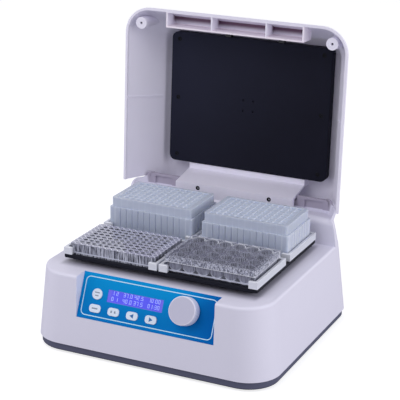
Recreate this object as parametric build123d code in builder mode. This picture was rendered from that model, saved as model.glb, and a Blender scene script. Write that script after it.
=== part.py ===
from build123d import *
from math import cos, radians, sin
import os

# A bench incubator that shakes and warms four microplates under a hinged, heated lid.
# Millimetres. Origin on the bench under the middle of the shaking platform, +Z up,
# the control panel towards -Y. The lid is modelled open, as it stands when plates are loaded.

os.makedirs("parts", exist_ok=True)

# Labware the nests are made for
plate_length = 127.76
plate_depth = 85.48
plate_corner = 3.18
skirt_height = 2.5
wall_thin = 1.2
well_pitch = 9.0
shallow_height = 14.35
shallow_well_radius = 3.43
shallow_well_depth = 10.67
broad_height = 20.27
broad_pitch = 19.3
broad_well_radius = 8.13
broad_well_depth = 17.4
deep_height = 44.8
deep_well_side = 8.2
deep_well_depth = 41.5
deep_collar_height = 13.0
deep_collar_inset = 3.8
deep_body_inset = 1.2
deep_rib_radius = 1.3
cover_height = 8.0
cover_drop = 6.2

# Levels above the bench
foot_height = 3.0
tray_height = 10.0
shadow_gap = 1.0
base_height = 98.0
platform_gap = 7.0
chassis_rise = 19.0
chassis_margin = 10.0
bridge_rise = 54.0

# Base housing
housing_wall = 3.0
bottom_half_width = 172.0
bottom_front = 142.6
bottom_rear = 161.0
bottom_front_corner = 45.0
bottom_rear_corner = 30.0
deck_half_width = 162.5
deck_front = 138.8
deck_rear = 158.0
deck_front_corner = 44.0
deck_rear_corner = 38.0
deck_edge = 3.5
flange_width = 12.0
flange_height = 3.0
tray_inset = 2.5
tray_wall = 5.0
tray_step = 2.0
tray_floor = 2.0
foot_radius = 11.0
foot_stem_radius = 4.0
foot_side = 34.0
foot_front_step = 38.6
foot_rear_step = 37.0

# Control panel, a sloping pocket in the front of the housing
panel_lean = 23.6
panel_top_y = -116.5
panel_half_width = 98.2
panel_height = 60.7
overlay_thickness = 0.6
panel_wall = 3.0
display_x = -19.4
display_down = 26.0
display_width = 79.6
display_height = 16.2
window_margin = 1.0
board_depth = 10.0
board_thickness = 1.6
key_row_down = 45.5
key_pitch = 27.0
key_first_x = -73.5
key_width = 16.3
key_height = 10.6
key_corner = 4.2
round_key_x = -73.8
round_key_down = 26.6
round_key_radius = 7.2
key_proud = 1.4
key_flange = 1.2
key_travel = 0.8
key_clearance = 0.15
knob_x = 54.0
knob_down = 25.8
knob_radius = 18.6
knob_depth = 14.5
knob_gap = 1.3
knob_edge = 1.6
shaft_radius = 3.0
push_travel = 0.5
bush_radius = 3.5
running = 0.05

# Shaking platform and its drive
orbit_radius = 1.0
nest_pitch = 139.92
nest_clearance = 0.4
rail_thickness = 4.3
rail_height = 9.7
rail_hook = 12.0
rail_gap_y = 13.5
platform_thickness = 4.8
carrier_thickness = 3.2
mat_thickness = 0.8
carrier_margin = 7.5
mat_margin = 13.5
bridge_half_x = 138.0
bridge_half_y = 96.0
sheet = 3.0
post_x = 124.0
post_y = 82.0
post_radius = 6.0
motor_radius = 28.0
motor_length = 36.0
crank_journal = 4.0
crank_disc_radius = 22.0
crank_disc_thickness = 6.0
bearing_radius = 11.0
bearing_width = 7.0
hub_radius = 17.0
idler_x = 96.0
idler_y = 62.0
idler_block_radius = 15.0
idler_block_height = 15.0
idler_journal = 4.0
idler_pin = 3.0
idler_flange = 8.0
idler_boss = 9.0

# Hinge and the housing's rear hump
hinge_y = 136.6
hinge_rise = 25.6
open_angle = 92.44
hinge_shaft_radius = 5.0
hump_front = 116.0
hump_top_rise = 38.0
hump_back_rise = 35.0
hump_fillet = 9.0
hump_root = 12.0
hump_sections = [(0, 0, deck_rear_corner), (14, 2.1, 42), (27, 4.6, 44), (39, 8.9, 42), (60, 13.5, 38)]
upstand_front = 147.0
upstand_rear = 151.0
upstand_rise = 53.5
upstand_middle_rise = 46.5
upstand_side = 20.0
upstand_corner = 12.0
trough_half = 91.5
tower_wall = 8.5
tower_space = 42.0
tower_space_width = 36.0
tower_space_depth = 28.0
tower_space_y = 133.0
recess_inner = 103.0
recess_outer = 130.0
recess_depth = 2.5
knuckle_half = 90.0
knuckle_radius = 9.0
bearing_fit = 0.03

# Lid, measured from the hinge axis with the lid shut
lid_half_width = 164.7
lid_front = 274.5
lid_rear = 28.0
lid_rim_drop = 24.8
lid_band = 4.0
lid_top_rise = 59.0
lid_corner = 37.0
lid_side_slope = 0.445
lid_front_slope = 0.40
lid_rear_slope = 0.13
lid_wall = 3.3
lid_top_fillet = 20.0
lid_cut_front = 22.0
lid_cut_rise = 33.0
rib_low = -144.7
rib_high = -139.0
rib_width = 1.4
heater_half_width = 122.0
heater_front = 234.0
heater_rear = 44.5
heater_face_rise = 37.4
heater_thickness = 13.0
heater_corner = 9.0
heater_screw_x = 110.0
heater_screw_inset = 10.0
box_half_width = 101.8
box_front = 272.5
box_rear = 250.0
box_depth = 29.0
box_wall = 2.0
box_rib_left = -33.0
box_rib_right = 47.5
pocket_depth = 26.0
boss_x = 141.5
boss_forward = 252.0
boss_radius = 8.3

# Rear panel
rear_panel_side = 70.5
rear_panel_z = 47.0
rear_panel_width = 104.0
rear_panel_height = 46.0
rear_panel_y = 159.0
rear_panel_thickness = 1.5
inlet_shift = 24.0
rocker_shift = -26.0
vent_shift = 12.0
vent_pitch = 9.0
vent_count = 9
vent_length = 36.0
vent_width = 4.0

# Levels worked out from the sizes above
tray_bottom = foot_height
housing_bottom = tray_bottom + tray_height + shadow_gap
deck_level = housing_bottom + base_height
platform_bottom = deck_level + platform_gap
platform_top = platform_bottom + platform_thickness
carrier_top = platform_bottom - mat_thickness
carrier_bottom = carrier_top - carrier_thickness
chassis_level = tray_bottom + tray_floor + chassis_rise
chassis_top = chassis_level + tray_floor
bridge_level = chassis_top + bridge_rise
bridge_top = bridge_level + sheet
hinge_z = deck_level + hinge_rise
tower_middle = trough_half + tower_wall + tower_space_width / 2
foot_x = bottom_half_width - foot_side
foot_front_y = foot_front_step - bottom_front
foot_rear_y = bottom_rear - foot_rear_step
rear_panel_x = deck_half_width - rear_panel_side
inlet_x = rear_panel_x + inlet_shift
rocker_x = rear_panel_x + rocker_shift
nest_x = nest_pitch / 2
rail_outer = nest_x + plate_length / 2 + nest_clearance + rail_thickness
rail_length = plate_depth + 2 * (nest_clearance + rail_thickness)
nest_y = (rail_length + rail_gap_y) / 2
platform_half_x = rail_outer
platform_half_y = nest_y + rail_length / 2

# Planes that several pieces share
panel = Plane(origin=(0, panel_top_y, deck_level), x_dir=(1, 0, 0),
              z_dir=(0, -cos(radians(panel_lean)), sin(radians(panel_lean))))
lid_frame = Plane(origin=(0, hinge_y, hinge_z), x_dir=(1, 0, 0),
                  z_dir=(0, sin(radians(open_angle)), cos(radians(open_angle))))
lid_section = Plane(origin=(0, hinge_y, hinge_z), z_dir=(1, 0, 0),
                    x_dir=(0, cos(radians(open_angle)), -sin(radians(open_angle))))


def keep(piece, name):
    piece.part.label = name
    export_step(piece.part, f"parts/{name}.step")


def share(level):
    return (level - housing_bottom) / base_height


def between(low, high, level):
    return low + (high - low) * share(level)


def footprint(level, inset):
    """Outline of the tapered base at one level."""
    return outline_of(between(bottom_half_width, deck_half_width, level) - inset,
                      between(bottom_front, deck_front, level) - inset,
                      between(bottom_rear, deck_rear, level) - inset,
                      between(bottom_front_corner, deck_front_corner, level) - inset,
                      between(bottom_rear_corner, deck_rear_corner, level) - inset)


def outline_of(half, front, rear, front_corner, rear_corner):
    """A rectangle whose front corners and rear corners have their own radii."""
    with BuildSketch() as outline:
        with BuildLine():
            Line((half, front_corner - front), (half, rear - rear_corner))
            CenterArc((half - rear_corner, rear - rear_corner), rear_corner, 0, 90)
            Line((half - rear_corner, rear), (rear_corner - half, rear))
            CenterArc((rear_corner - half, rear - rear_corner), rear_corner, 90, 90)
            Line((-half, rear - rear_corner), (-half, front_corner - front))
            CenterArc((front_corner - half, front_corner - front), front_corner, 180, 90)
            Line((front_corner - half, -front), (half - front_corner, -front))
            CenterArc((half - front_corner, front_corner - front), front_corner, 270, 90)
        make_face()
    return outline.sketch


def lid_outline(rise, inset):
    """Outline of the lid at one height over the hinge axis, lid shut."""
    climb = max(0.0, rise + lid_rim_drop - lid_band)
    half = lid_half_width - lid_side_slope * climb - inset
    front = lid_front - lid_front_slope * climb - inset
    rear = lid_rear - lid_rear_slope * climb - inset
    corner = lid_corner - 0.1 * climb - inset
    with Locations((0, (rear - front) / 2)):
        RectangleRounded(2 * half, front + rear, corner)


def lid_solid(inset):
    """The lid's outer form, or with an inset the space inside its walls."""
    with BuildPart() as form:
        with BuildSketch(lid_frame.offset(-lid_rim_drop)):
            lid_outline(-lid_rim_drop, inset)
        extrude(amount=lid_band)
        with BuildSketch(lid_frame.offset(lid_band - lid_rim_drop)):
            lid_outline(lid_band - lid_rim_drop, inset)
        with BuildSketch(lid_frame.offset(lid_top_rise - inset)):
            lid_outline(lid_top_rise - inset, inset)
        loft()
        top = form.faces().sort_by(Axis(lid_frame.origin, lid_frame.z_dir))[-1]
        fillet(top.edges(), radius=lid_top_fillet - inset)
    return form.part


# ---------------------------------------------------------------- base housing

with BuildPart() as rubber_feet:
    with Locations((foot_x, foot_front_y), (-foot_x, foot_front_y),
                   (foot_x, foot_rear_y), (-foot_x, foot_rear_y)):
        Cylinder(foot_radius, foot_height, align=(Align.CENTER, Align.CENTER, Align.MIN))
    fillet(rubber_feet.edges().group_by(Axis.Z)[0], radius=0.8)
    with BuildSketch(Plane.XY.offset(foot_height)):
        with Locations((foot_x, foot_front_y), (-foot_x, foot_front_y),
                       (foot_x, foot_rear_y), (-foot_x, foot_rear_y)):
            Circle(foot_stem_radius)
    extrude(amount=tray_floor + 1)
keep(rubber_feet, "rubber_feet")

tray_post_x = foot_x - 10
tray_post_front = foot_front_y + 10
tray_post_rear = foot_rear_y - 6
screw_inset = 13.0
front_step = bottom_front_corner - (bottom_front_corner - screw_inset) * cos(radians(45))
rear_step = bottom_rear_corner - (bottom_rear_corner - screw_inset) * cos(radians(45))
case_screws = [(side * (bottom_half_width - front_step), front_step - bottom_front)
               for side in (-1, 1)]
case_screws += [(side * (bottom_half_width - rear_step), bottom_rear - rear_step)
                for side in (-1, 1)]
tray_posts = [(tray_post_x, tray_post_front), (-tray_post_x, tray_post_front),
              (tray_post_x, tray_post_rear), (-tray_post_x, tray_post_rear)]
screw_radius = 2.0
thread_radius = 1.6

with BuildPart() as bottom_tray:
    with BuildSketch(Plane.XY.offset(tray_bottom)):
        add(footprint(housing_bottom, tray_inset))
    extrude(amount=tray_height)
    fillet(bottom_tray.edges().group_by(Axis.Z)[0], radius=2.0)
    with BuildSketch(Plane.XY.offset(tray_bottom + tray_height)):
        add(footprint(housing_bottom, tray_inset + tray_step))
    extrude(amount=shadow_gap)
    with BuildSketch(Plane.XY.offset(tray_bottom + tray_floor)):
        add(footprint(housing_bottom, tray_inset + tray_wall))
    extrude(amount=tray_height + shadow_gap, mode=Mode.SUBTRACT)
    with BuildSketch(Plane.XY.offset(tray_bottom + tray_floor)):
        with Locations(*tray_posts):
            Circle(5)
    extrude(amount=chassis_rise)
    with Locations((foot_x, foot_front_y), (-foot_x, foot_front_y),
                   (foot_x, foot_rear_y), (-foot_x, foot_rear_y)):
        Cylinder(foot_stem_radius + running, 40, mode=Mode.SUBTRACT)
    with Locations(*case_screws):
        Cylinder(screw_radius + 0.2, 40, mode=Mode.SUBTRACT)
    with BuildSketch(Plane.XY.offset(tray_bottom)):
        with Locations((0, 10)):
            with GridLocations(14, 60, 9, 2):
                SlotOverall(40, 5, rotation=90)
    extrude(amount=tray_floor, mode=Mode.SUBTRACT)
keep(bottom_tray, "bottom_tray")

# the towers' sides draw in towards the top, with ever rounder rear corners
with BuildPart() as hump_limit:
    with BuildSketch(Plane.XY.offset(deck_level - hump_root)):
        add(footprint(deck_level, 0))
    extrude(amount=hump_root)
    for rise, draw, corner in hump_sections:
        with BuildSketch(Plane.XY.offset(deck_level + rise)):
            add(outline_of(deck_half_width - draw, deck_front, deck_rear, deck_front_corner, corner))
    loft()

with BuildPart() as hump_side:
    with BuildSketch(Plane.YZ) as hump_profile:
        with BuildLine():
            arc_top = (upstand_rear, deck_level + upstand_rise)
            arc_radius = ((arc_top[0] - hinge_y) ** 2 + (arc_top[1] - hinge_z) ** 2) ** 0.5
            arc_low_z = hinge_z + (arc_radius ** 2 - (deck_rear - hinge_y) ** 2) ** 0.5
            Polyline((deck_rear, arc_low_z), (deck_rear, deck_level - hump_root),
                     (hump_front, deck_level - hump_root), (hump_front, deck_level + hump_top_rise),
                     (upstand_front, deck_level + hump_back_rise),
                     (upstand_front, deck_level + upstand_rise), arc_top)
            RadiusArc(arc_top, (deck_rear, arc_low_z), arc_radius)
        make_face()
        nose = hump_profile.vertices().sort_by_distance((hump_front, deck_level + hump_top_rise))[0]
        fillet(nose, radius=hump_fillet)
    extrude(amount=deck_half_width, both=True)
    with BuildSketch(Plane.XZ) as hump_view:
        with Locations((0, deck_level)):
            Rectangle(2 * (deck_half_width - upstand_side), 2 * upstand_rise)
        top_corners = hump_view.vertices().group_by(Axis.Y)[-1]
        fillet(top_corners, radius=upstand_corner)
        with Locations((0, deck_level + hump_top_rise - upstand_rise)):
            Rectangle(2 * deck_half_width, 2 * upstand_rise)
    extrude(amount=2 * deck_rear, both=True, mode=Mode.INTERSECT)
    add(hump_limit.part, mode=Mode.INTERSECT)
    with BuildSketch(Plane.XY.offset(deck_level)):
        with Locations((0, (hump_front + upstand_front) / 2 - 5)):
            Rectangle(2 * trough_half, upstand_front - hump_front + 10)
    extrude(amount=100, mode=Mode.SUBTRACT)
    with BuildSketch(Plane.XY.offset(deck_level + upstand_middle_rise)):
        with Locations((0, deck_rear)):
            Rectangle(2 * trough_half, 40)
    extrude(amount=40, mode=Mode.SUBTRACT)
    with BuildSketch(Plane.XZ.offset(-upstand_front)):
        with Locations(((recess_inner + recess_outer) / 2, deck_level + 43),
                       (-(recess_inner + recess_outer) / 2, deck_level + 43)):
            RectangleRounded(recess_outer - recess_inner, 14, 1.5)
    extrude(amount=-recess_depth, mode=Mode.SUBTRACT)

with BuildPart() as base_space:
    with BuildSketch(Plane.XY.offset(housing_bottom + flange_height)):
        add(footprint(housing_bottom + flange_height, housing_wall))
    with BuildSketch(Plane.XY.offset(deck_level - housing_wall)):
        add(footprint(deck_level - housing_wall, housing_wall))
    loft()
    with BuildSketch(panel.offset(-overlay_thickness - panel_wall)):
        with Locations((0, -panel_height / 2 + 1)):
            Rectangle(2 * (panel_half_width + panel_wall), panel_height + 12)
    extrude(amount=60, mode=Mode.SUBTRACT)
    for side in (-1, 1):
        with BuildSketch(Plane.XY.offset(deck_level - 10)):
            with Locations((side * tower_middle, tower_space_y)):
                Rectangle(tower_space_width, tower_space_depth)
        extrude(amount=tower_space)

with BuildPart() as housing:
    with BuildSketch(Plane.XY.offset(housing_bottom)):
        add(footprint(housing_bottom, 0))
    with BuildSketch(Plane.XY.offset(deck_level)):
        add(footprint(deck_level, 0))
    loft()
    fillet(housing.edges().group_by(Axis.Z)[-1], radius=deck_edge)
    add(hump_side.part)
    with BuildSketch(panel.offset(-overlay_thickness)):
        with Locations((0, -panel_height / 2 + 10)):
            Rectangle(2 * panel_half_width, panel_height + 20)
    extrude(amount=50, mode=Mode.SUBTRACT)
    add(base_space.part, mode=Mode.SUBTRACT)
    with BuildSketch(Plane.XY.offset(housing_bottom)):
        add(footprint(housing_bottom, flange_width))
    extrude(amount=flange_height, mode=Mode.SUBTRACT)
    with BuildSketch(Plane.XY.offset(tray_bottom + tray_floor)):
        with Locations(*case_screws):
            Circle(5)
    extrude(amount=38)
    with BuildSketch(Plane.XY.offset(tray_bottom)):
        with Locations(*case_screws):
            Circle(thread_radius)
    extrude(amount=22, mode=Mode.SUBTRACT)
    # openings in the deck for the platform's hub and the four guide bosses
    with BuildSketch(Plane.XY.offset(deck_level - housing_wall - 1)):
        Circle(hub_radius + orbit_radius + 6)
        with GridLocations(2 * idler_x, 2 * idler_y, 2, 2):
            Circle(idler_boss + orbit_radius + 4)
    extrude(amount=housing_wall + 2, mode=Mode.SUBTRACT)
    # openings in the control panel
    with BuildSketch(panel.offset(-overlay_thickness - panel_wall - 1)):
        with Locations((display_x, -display_down)):
            Rectangle(display_width + 2 * window_margin, display_height + 2 * window_margin)
        with Locations((round_key_x, -round_key_down)):
            Circle(round_key_radius + key_clearance)
        for key in range(4):
            with Locations((key_first_x + key * key_pitch, -key_row_down)):
                RectangleRounded(key_width + 2 * key_clearance, key_height + 2 * key_clearance,
                                 key_corner + key_clearance)
        with Locations((knob_x, -knob_down)):
            Circle(bush_radius + running)
    extrude(amount=panel_wall + 2, mode=Mode.SUBTRACT)
    # hinge bearings in the two towers
    with BuildSketch(Plane.YZ.offset(-trough_half - 20)):
        with Locations((hinge_y, hinge_z)):
            Circle(hinge_shaft_radius + 3)
    extrude(amount=2 * trough_half + 40, mode=Mode.SUBTRACT)
    # flat seat and window for the rear panel, and cooling slots
    with Locations((rear_panel_x, rear_panel_y + 10, rear_panel_z)):
        Box(rear_panel_width, 20, rear_panel_height, mode=Mode.SUBTRACT)
    with Locations((rear_panel_x, rear_panel_y, rear_panel_z)):
        Box(rear_panel_width - 14, 20, rear_panel_height - 14, mode=Mode.SUBTRACT)
    with BuildSketch(Plane.XZ.offset(-bottom_rear - 5)):
        with Locations((-rear_panel_x + vent_shift, rear_panel_z)):
            with GridLocations(vent_pitch, 0, vent_count, 1):
                SlotOverall(vent_length, vent_width, rotation=90)
    extrude(amount=20, mode=Mode.SUBTRACT)
keep(housing, "housing")

with BuildPart() as case_screw_set:
    with BuildSketch(Plane.XY.offset(tray_bottom - 2)):
        with Locations(*case_screws):
            Circle(2 * screw_radius)
    extrude(amount=2)
    with BuildSketch(Plane.XY.offset(tray_bottom)):
        with Locations(*case_screws):
            Circle(thread_radius - running)
    extrude(amount=18)
keep(case_screw_set, "case_screws")

# ------------------------------------------------------------- control panel

with BuildPart(panel) as control_overlay:
    with BuildSketch(panel.offset(-overlay_thickness)):
        with Locations((0, -panel_height / 2)):
            Rectangle(2 * panel_half_width - 0.3, panel_height - 0.4)
        with Locations((display_x, -display_down)):
            Rectangle(display_width, display_height, mode=Mode.SUBTRACT)
        with Locations((round_key_x, -round_key_down)):
            Circle(round_key_radius + key_clearance, mode=Mode.SUBTRACT)
        for key in range(4):
            with Locations((key_first_x + key * key_pitch, -key_row_down)):
                RectangleRounded(key_width + 2 * key_clearance, key_height + 2 * key_clearance,
                                 key_corner + key_clearance, mode=Mode.SUBTRACT)
        with Locations((knob_x, -knob_down)):
            Circle(bush_radius + running, mode=Mode.SUBTRACT)
    extrude(amount=overlay_thickness)
keep(control_overlay, "control_overlay")

window_back = -overlay_thickness - panel_wall
with BuildPart(panel) as lcd_window:
    with BuildSketch(panel.offset(window_back)):
        with Locations((display_x, -display_down)):
            Rectangle(display_width + 2 * window_margin - 0.2,
                      display_height + 2 * window_margin - 0.2)
    extrude(amount=panel_wall)
keep(lcd_window, "lcd_window")

board_front = -overlay_thickness - board_depth
with BuildPart(panel) as display_board:
    with BuildSketch(panel.offset(board_front - board_thickness)):
        with Locations((-10, -35)):
            Rectangle(168, 40)
    extrude(amount=board_thickness)
    with BuildSketch(panel.offset(board_front)):
        with Locations((display_x, -display_down)):
            Rectangle(display_width + 4, display_height + 6)
    extrude(amount=window_back - board_front)
    with BuildSketch(panel.offset(board_front)):
        with Locations((round_key_x, -round_key_down)):
            Rectangle(6, 6)
        for key in range(4):
            with Locations((key_first_x + key * key_pitch, -key_row_down)):
                Rectangle(6, 6)
    extrude(amount=3.5)
keep(display_board, "display_board")

wall_back = -overlay_thickness - panel_wall
switch_top = board_front + 3.5
stem_end = switch_top + key_travel + 0.1
key_names = ["menu_key", "run_key", "left_key", "right_key"]
for key, name in enumerate(key_names):
    with BuildPart(panel) as push_key:
        with BuildSketch(panel.offset(wall_back)):
            with Locations((key_first_x + key * key_pitch, -key_row_down)):
                RectangleRounded(key_width, key_height, key_corner)
        extrude(amount=key_proud - wall_back)
        front_edges = push_key.edges().group_by(Axis(panel.origin, panel.z_dir))[-1]
        fillet(front_edges, radius=0.6)
        with BuildSketch(panel.offset(wall_back - key_flange)):
            with Locations((key_first_x + key * key_pitch, -key_row_down)):
                RectangleRounded(key_width + 2, key_height + 2, key_corner + 1)
        extrude(amount=key_flange)
        with BuildSketch(panel.offset(stem_end)):
            with Locations((key_first_x + key * key_pitch, -key_row_down)):
                Circle(2)
        extrude(amount=wall_back - stem_end)
    keep(push_key, name)

with BuildPart(panel) as round_key:
    with BuildSketch(panel.offset(wall_back)):
        with Locations((round_key_x, -round_key_down)):
            Circle(round_key_radius)
    extrude(amount=key_proud - wall_back)
    fillet(round_key.edges().group_by(Axis(panel.origin, panel.z_dir))[-1], radius=0.6)
    with BuildSketch(panel.offset(wall_back - key_flange)):
        with Locations((round_key_x, -round_key_down)):
            Circle(round_key_radius + 1)
    extrude(amount=key_flange)
    with BuildSketch(panel.offset(stem_end)):
        with Locations((round_key_x, -round_key_down)):
            Circle(2)
    extrude(amount=wall_back - stem_end)
keep(round_key, "round_key")

plunger_top = board_front + 2.0
with BuildPart(panel) as encoder_body:
    with BuildSketch(panel.offset(board_front)):
        with Locations((knob_x, -knob_down)):
            Rectangle(12.5, 12.5)
    extrude(amount=wall_back - board_front)
    with BuildSketch(panel.offset(wall_back)):
        with Locations((knob_x, -knob_down)):
            Circle(bush_radius)
    extrude(amount=3 - wall_back)
    with BuildSketch(panel.offset(plunger_top - 1 - push_travel - 0.1)):
        with Locations((knob_x, -knob_down)):
            Circle(shaft_radius + running)
    extrude(amount=20, mode=Mode.SUBTRACT)
keep(encoder_body, "encoder_body")

with BuildPart(panel) as encoder_nut:
    with BuildSketch(panel):
        with Locations((knob_x, -knob_down)):
            RegularPolygon(5.2, 6)
            Circle(bush_radius + running, mode=Mode.SUBTRACT)
    extrude(amount=2)
keep(encoder_nut, "encoder_nut")

with BuildPart(panel) as encoder_plunger:
    with BuildSketch(panel.offset(plunger_top - 1)):
        with Locations((knob_x, -knob_down)):
            Circle(shaft_radius - 0.2)
    extrude(amount=1)
keep(encoder_plunger, "encoder_plunger")

with BuildPart(panel) as encoder_shaft:
    with BuildSketch(panel.offset(plunger_top)):
        with Locations((knob_x, -knob_down)):
            Circle(shaft_radius)
    extrude(amount=11.5 - plunger_top)
keep(encoder_shaft, "encoder_shaft")

with BuildPart(panel) as control_knob:
    with BuildSketch(panel.offset(knob_gap)):
        with Locations((knob_x, -knob_down)):
            Circle(knob_radius)
    extrude(amount=knob_depth)
    rims = control_knob.edges().group_by(Axis(panel.origin, panel.z_dir))
    fillet(rims[-1], radius=knob_edge)
    chamfer(control_knob.edges().group_by(Axis(panel.origin, panel.z_dir))[0], length=0.5)
    with BuildSketch(panel.offset(knob_gap)):
        with Locations((knob_x, -knob_down)):
            Circle(8)
    extrude(amount=4, mode=Mode.SUBTRACT)
    with BuildSketch(panel.offset(knob_gap)):
        with Locations((knob_x, -knob_down)):
            Circle(shaft_radius)
    extrude(amount=11.5 - knob_gap, mode=Mode.SUBTRACT)
keep(control_knob, "control_knob")

# -------------------------------------------------------- chassis and drive

bridge_posts_at = [(post_x, post_y), (-post_x, post_y), (post_x, -post_y), (-post_x, -post_y)]
board_posts_at = [(-106, 50), (-14, 50), (-106, 112), (-14, 112)]
board_lift = 6.0

with BuildPart() as chassis_plate:
    with BuildSketch(Plane.XY.offset(chassis_level)):
        with Locations((0, (tray_post_front + tray_post_rear) / 2)):
            RectangleRounded(2 * (tray_post_x + chassis_margin),
                             tray_post_rear - tray_post_front + 2 * chassis_margin, 8)
        with Locations(*tray_posts):
            Circle(thread_radius, mode=Mode.SUBTRACT)
        Circle(20, mode=Mode.SUBTRACT)
    extrude(amount=tray_floor)
    with BuildSketch(Plane.XY.offset(chassis_top)):
        with Locations(*board_posts_at):
            Circle(3)
    extrude(amount=board_lift)
keep(chassis_plate, "chassis_plate")

motor_collar = 11.0
with BuildPart() as drive_bridge:
    with BuildSketch(Plane.XY.offset(bridge_level)):
        RectangleRounded(2 * bridge_half_x, 2 * bridge_half_y, 10)
        Circle(motor_collar + running, mode=Mode.SUBTRACT)
        for side in (-1, 1):
            with Locations((side * 62, 0)):
                RectangleRounded(40, 120, 8, mode=Mode.SUBTRACT)
    extrude(amount=sheet)
    with BuildSketch(Plane.XY.offset(chassis_top)):
        with Locations(*bridge_posts_at):
            Circle(post_radius)
    extrude(amount=bridge_rise)
keep(drive_bridge, "drive_bridge")

crank_disc_bottom = bridge_top + 3
crank_disc_top = crank_disc_bottom + crank_disc_thickness
with BuildPart() as drive_motor:
    with BuildSketch(Plane.XY.offset(bridge_level - motor_length)):
        Circle(motor_radius)
    extrude(amount=motor_length)
    fillet(drive_motor.edges().group_by(Axis.Z)[0], radius=2)
    with BuildSketch(Plane.XY.offset(bridge_level)):
        Circle(motor_collar)
    extrude(amount=sheet + 1)
    with BuildSketch(Plane.XY.offset(bridge_level - motor_length + 12)):
        Circle(crank_journal + running)
    extrude(amount=motor_length, mode=Mode.SUBTRACT)
keep(drive_motor, "drive_motor")

bearing_bottom = crank_disc_top + 6
hub_floor = bearing_bottom + bearing_width
with BuildPart() as crank:
    with BuildSketch(Plane.XY.offset(bridge_level - motor_length + 13)):
        Circle(crank_journal)
    extrude(amount=crank_disc_bottom - bridge_level + motor_length - 13)
    with BuildSketch(Plane.XY.offset(crank_disc_bottom)):
        Circle(crank_disc_radius)
    extrude(amount=crank_disc_thickness)
    with BuildSketch(Plane.XY.offset(crank_disc_top)):
        with Locations((orbit_radius, 0)):
            Circle(crank_journal)
    extrude(amount=hub_floor + 1 - crank_disc_top)
keep(crank, "crank")

with BuildPart() as counterweight:
    with BuildSketch(Plane.XY.offset(crank_disc_top)):
        Circle(crank_disc_radius - 1)
        Circle(10, mode=Mode.SUBTRACT)
        with Locations((crank_disc_radius, 0)):
            Rectangle(2 * crank_disc_radius, 3 * crank_disc_radius, mode=Mode.SUBTRACT)
    extrude(amount=5)
keep(counterweight, "counterweight")

with BuildPart() as hub_bearing:
    with BuildSketch(Plane.XY.offset(bearing_bottom)):
        with Locations((orbit_radius, 0)):
            Circle(bearing_radius)
            Circle(crank_journal + running, mode=Mode.SUBTRACT)
    extrude(amount=bearing_width)
keep(hub_bearing, "hub_bearing")

idler_flange_bottom = bridge_top + idler_block_height + 0.3
idler_flange_top = idler_flange_bottom + 2.7
with BuildPart() as idler_blocks:
    with BuildSketch(Plane.XY.offset(bridge_top)):
        with GridLocations(2 * idler_x, 2 * idler_y, 2, 2):
            Circle(idler_block_radius)
    extrude(amount=idler_block_height)
    with BuildSketch(Plane.XY.offset(bridge_top + 2)):
        with GridLocations(2 * idler_x, 2 * idler_y, 2, 2):
            Circle(idler_journal + running)
    extrude(amount=idler_block_height, mode=Mode.SUBTRACT)
keep(idler_blocks, "idler_blocks")

idler_places = {"front_left": (-1, -1), "front_right": (1, -1),
                "rear_left": (-1, 1), "rear_right": (1, 1)}
for place, (side, end) in idler_places.items():
    with BuildPart() as idler_crank:
        with BuildSketch(Plane.XY.offset(bridge_top + 3)):
            with Locations((side * idler_x, end * idler_y)):
                Circle(idler_journal)
        extrude(amount=idler_flange_bottom - bridge_top - 3)
        with BuildSketch(Plane.XY.offset(idler_flange_bottom)):
            with Locations((side * idler_x, end * idler_y)):
                Circle(idler_flange)
        extrude(amount=idler_flange_top - idler_flange_bottom)
        with BuildSketch(Plane.XY.offset(idler_flange_top)):
            with Locations((side * idler_x + orbit_radius, end * idler_y)):
                Circle(idler_pin)
        extrude(amount=carrier_bottom - 1 - idler_flange_top)
    keep(idler_crank, f"idler_crank_{place}")

# The hub and the guide bosses stand one orbit radius to +X of the axes that drive them.
with BuildPart() as platform_carrier:
    with BuildSketch(Plane.XY.offset(carrier_bottom)):
        RectangleRounded(2 * (platform_half_x - carrier_margin),
                         2 * (platform_half_y - carrier_margin), 4)
    extrude(amount=carrier_thickness)
    with BuildSketch(Plane.XY.offset(bearing_bottom)):
        with Locations((orbit_radius, 0)):
            Circle(hub_radius)
    extrude(amount=carrier_bottom - bearing_bottom)
    with BuildSketch(Plane.XY.offset(idler_flange_top + 0.3)):
        with GridLocations(2 * idler_x, 2 * idler_y, 2, 2):
            with Locations((orbit_radius, 0)):
                Circle(idler_boss)
    extrude(amount=carrier_bottom - idler_flange_top - 0.3)
    with BuildSketch(Plane.XY.offset(bearing_bottom)):
        with Locations((orbit_radius, 0)):
            Circle(bearing_radius + bearing_fit)
    extrude(amount=bearing_width, mode=Mode.SUBTRACT)
    with BuildSketch(Plane.XY.offset(hub_floor)):
        with Locations((orbit_radius, 0)):
            Circle(crank_journal + 2)
    extrude(amount=3, mode=Mode.SUBTRACT)
    with BuildSketch(Plane.XY.offset(idler_flange_top)):
        with GridLocations(2 * idler_x, 2 * idler_y, 2, 2):
            with Locations((orbit_radius, 0)):
                Circle(idler_pin + running)
    extrude(amount=carrier_bottom - idler_flange_top, mode=Mode.SUBTRACT)
keep(platform_carrier, "platform_carrier")

with BuildPart() as heater_mat:
    with BuildSketch(Plane.XY.offset(carrier_top)):
        RectangleRounded(2 * (platform_half_x - mat_margin),
                         2 * (platform_half_y - mat_margin), 4)
    extrude(amount=mat_thickness)
keep(heater_mat, "heater_mat")

rail_screw_radius = 1.5
rail_middle = rail_outer - rail_thickness / 2
rail_inner_middle = nest_x - plate_length / 2 - nest_clearance - rail_thickness / 2
rail_screw_pitch = 60.0
rail_screws_at = [(side * x, end * nest_y + step * rail_screw_pitch / 2)
                  for side in (-1, 1) for x in (rail_middle, rail_inner_middle)
                  for end in (-1, 1) for step in (-1, 1)]

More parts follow.
